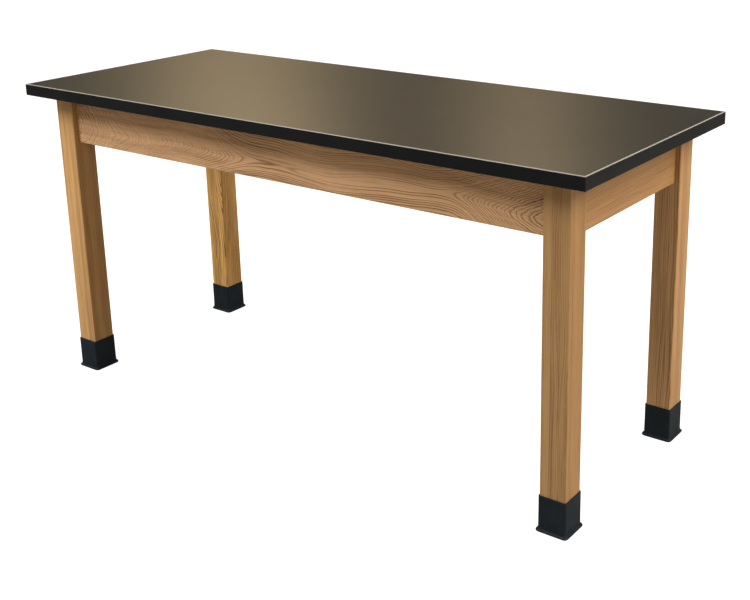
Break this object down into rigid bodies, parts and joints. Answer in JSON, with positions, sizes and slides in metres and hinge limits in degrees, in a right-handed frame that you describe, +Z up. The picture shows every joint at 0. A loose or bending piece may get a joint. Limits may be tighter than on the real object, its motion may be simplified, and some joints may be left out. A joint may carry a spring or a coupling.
{
  "type": "science lab table",
  "caption": "Long work table with a dark laminate top, square hardwood legs, deep aprons, and rubber leg shoes over screw-in levelling glides.",
  "frame": {"origin": "on the floor under the middle of the worktop", "axes": "+X along the table's length, +Y from the front apron to the back apron, +Z up"},
  "size_m": [1.524, 0.6096, 0.7366],
  "materials": {
    "black_laminate": "satin black laminate sheet",
    "black_edge_band": "satin black plastic edge band",
    "particle_board": "pressed wood particles, hidden inside the worktop",
    "backer_sheet": "brown phenolic paper backer, matt",
    "leg_hardwood": "open-grained hardwood with a clear satin lacquer",
    "apron_hardwood": "flat-sawn hardwood with a clear satin lacquer",
    "zinc_plated_steel": "bright zinc plate",
    "grey_nylon": "moulded nylon",
    "black_rubber": "satin moulded rubber"
  },
  "bodies": {
    "table": {"top_laminate": "black_laminate", "top_core": "particle_board", "top_backer": "backer_sheet", "edge_band_front": "black_edge_band", "edge_band_back": "black_edge_band", "edge_band_left": "black_edge_band", "edge_band_right": "black_edge_band", "apron_front": "apron_hardwood", "apron_back": "apron_hardwood", "apron_left": "apron_hardwood", "apron_right": "apron_hardwood", "top_clip_front_1": "zinc_plated_steel", "top_clip_front_2": "zinc_plated_steel", "top_clip_front_3": "zinc_plated_steel", "top_clip_back_1": "zinc_plated_steel", "top_clip_back_2": "zinc_plated_steel", "top_clip_back_3": "zinc_plated_steel", "top_clip_left_1": "zinc_plated_steel", "top_clip_right_1": "zinc_plated_steel", "leg_front_left": "leg_hardwood", "leg_front_right": "leg_hardwood", "leg_back_left": "leg_hardwood", "leg_back_right": "leg_hardwood", "corner_bracket_front_left": "zinc_plated_steel", "corner_bracket_front_right": "zinc_plated_steel", "corner_bracket_back_left": "zinc_plated_steel", "corner_bracket_back_right": "zinc_plated_steel", "hanger_bolt_upper_front_left": "zinc_plated_steel", "hanger_bolt_upper_front_right": "zinc_plated_steel", "hanger_bolt_upper_back_left": "zinc_plated_steel", "hanger_bolt_upper_back_right": "zinc_plated_steel", "hanger_bolt_lower_front_left": "zinc_plated_steel", "hanger_bolt_lower_front_right": "zinc_plated_steel", "hanger_bolt_lower_back_left": "zinc_plated_steel", "hanger_bolt_lower_back_right": "zinc_plated_steel", "flange_nut_upper_front_left": "zinc_plated_steel", "flange_nut_upper_front_right": "zinc_plated_steel", "flange_nut_upper_back_left": "zinc_plated_steel", "flange_nut_upper_back_right": "zinc_plated_steel", "flange_nut_lower_front_left": "zinc_plated_steel", "flange_nut_lower_front_right": "zinc_plated_steel", "flange_nut_lower_back_left": "zinc_plated_steel", "flange_nut_lower_back_right": "zinc_plated_steel", "tee_nut_front_left": "zinc_plated_steel", "tee_nut_front_right": "zinc_plated_steel", "tee_nut_back_left": "zinc_plated_steel", "tee_nut_back_right": "zinc_plated_steel"},
    "pad_front_left": {"glide_pad_front_left": "grey_nylon"},
    "pad_front_right": {"glide_pad_front_right": "grey_nylon"},
    "pad_back_left": {"glide_pad_back_left": "grey_nylon"},
    "pad_back_right": {"glide_pad_back_right": "grey_nylon"},
    "screw_front_left": {"glide_screw_front_left": "zinc_plated_steel"},
    "screw_front_right": {"glide_screw_front_right": "zinc_plated_steel"},
    "screw_back_left": {"glide_screw_back_left": "zinc_plated_steel"},
    "screw_back_right": {"glide_screw_back_right": "zinc_plated_steel"},
    "shoe_front_left": {"shoe_front_left": "black_rubber"},
    "shoe_front_right": {"shoe_front_right": "black_rubber"},
    "shoe_back_left": {"shoe_back_left": "black_rubber"},
    "shoe_back_right": {"shoe_back_right": "black_rubber"}
  },
  "joints": [
    {"name": "pad_slide_front_left", "type": "slide", "parent": "table", "child": "pad_front_left", "axis": [0, 0, 1], "range_m": [-0.019, 0]},
    {"name": "pad_slide_front_right", "type": "slide", "parent": "table", "child": "pad_front_right", "axis": [0, 0, 1], "range_m": [-0.019, 0]},
    {"name": "pad_slide_back_left", "type": "slide", "parent": "table", "child": "pad_back_left", "axis": [0, 0, 1], "range_m": [-0.019, 0]},
    {"name": "pad_slide_back_right", "type": "slide", "parent": "table", "child": "pad_back_right", "axis": [0, 0, 1], "range_m": [-0.019, 0]},
    {"name": "screw_turn_front_left", "type": "hinge", "parent": "pad_front_left", "child": "screw_front_left", "pos_m": [-0.68263, -0.23178, 0.01], "axis": [0, 0, 1], "range_deg": [-4309, 0]},
    {"name": "screw_turn_front_right", "type": "hinge", "parent": "pad_front_right", "child": "screw_front_right", "pos_m": [0.68263, -0.23178, 0.01], "axis": [0, 0, 1], "range_deg": [-4309, 0]},
    {"name": "screw_turn_back_left", "type": "hinge", "parent": "pad_back_left", "child": "screw_back_left", "pos_m": [-0.68263, 0.23178, 0.01], "axis": [0, 0, 1], "range_deg": [-4309, 0]},
    {"name": "screw_turn_back_right", "type": "hinge", "parent": "pad_back_right", "child": "screw_back_right", "pos_m": [0.68263, 0.23178, 0.01], "axis": [0, 0, 1], "range_deg": [-4309, 0]},
    {"name": "shoe_slide_front_left", "type": "slide", "parent": "table", "child": "shoe_front_left", "axis": [0, 0, 1], "range_m": [0, 0.0508]},
    {"name": "shoe_slide_front_right", "type": "slide", "parent": "table", "child": "shoe_front_right", "axis": [0, 0, 1], "range_m": [0, 0.0508]},
    {"name": "shoe_slide_back_left", "type": "slide", "parent": "table", "child": "shoe_back_left", "axis": [0, 0, 1], "range_m": [0, 0.0508]},
    {"name": "shoe_slide_back_right", "type": "slide", "parent": "table", "child": "shoe_back_right", "axis": [0, 0, 1], "range_m": [0, 0.0508]}
  ],
  "couplings": [
    {"joint": "screw_turn_front_left", "follows": "pad_slide_front_left", "rad_per_m": 3957.9},
    {"joint": "screw_turn_front_right", "follows": "pad_slide_front_right", "rad_per_m": 3957.9},
    {"joint": "screw_turn_back_left", "follows": "pad_slide_back_left", "rad_per_m": 3957.9},
    {"joint": "screw_turn_back_right", "follows": "pad_slide_back_right", "rad_per_m": 3957.9}
  ]
}
